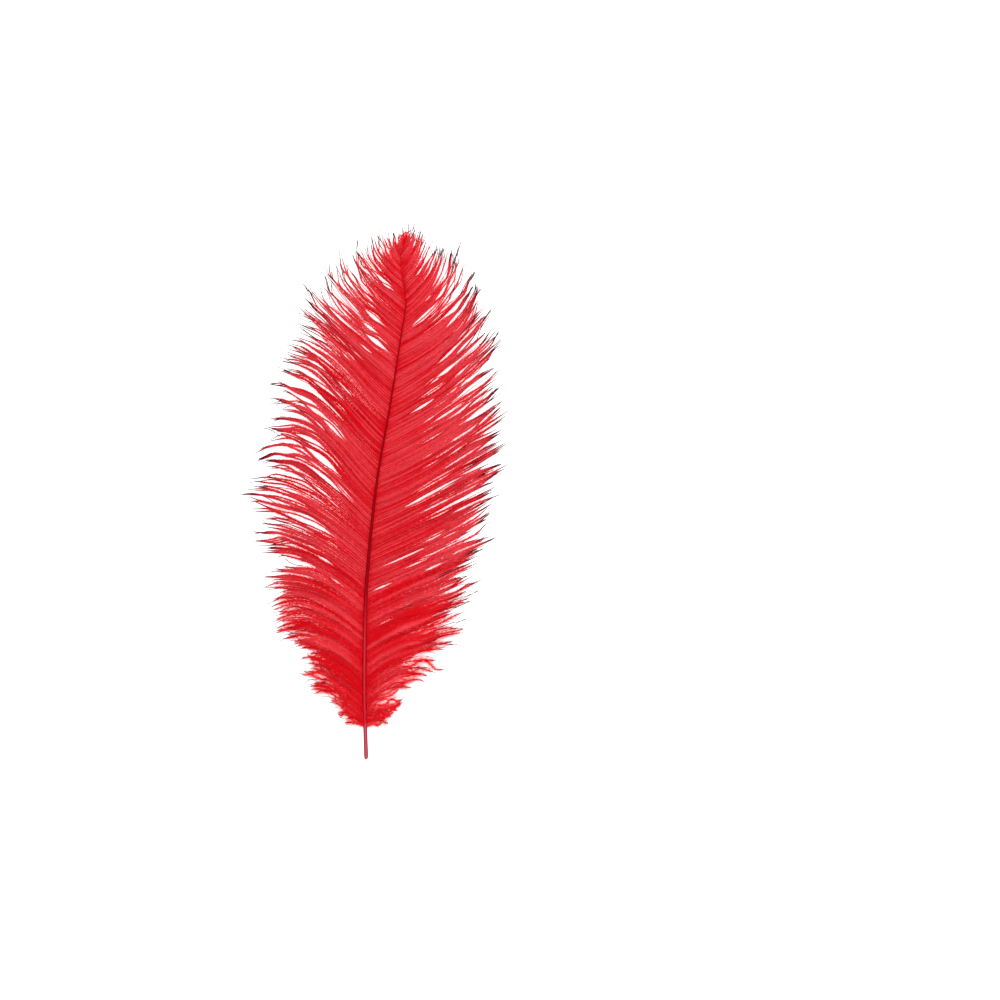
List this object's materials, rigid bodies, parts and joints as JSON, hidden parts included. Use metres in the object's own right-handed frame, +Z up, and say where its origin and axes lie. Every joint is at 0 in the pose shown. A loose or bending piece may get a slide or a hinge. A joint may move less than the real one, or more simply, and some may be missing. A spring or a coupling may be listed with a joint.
{
  "type": "ostrich plume",
  "caption": "Dyed ostrich plume lying flat: a bowed tapering shaft with a bare quill and two soft wide vanes parted into pointed, ragged locks.",
  "frame": {"origin": "centre of the bounding box, on the surface that the plume lies on", "axes": "+Y along the plume from the bare quill to the tip, +Z up from the surface, +X to the right of the shaft seen from above with the tip ahead"},
  "size_m": [0.1466, 0.3186, 0.014],
  "materials": {
    "dyed_feather": "soft dyed barbs, matte, glossier on the shaft"
  },
  "bodies": {
    "root": {"plume": "dyed_feather"}
  },
  "joints": []
}
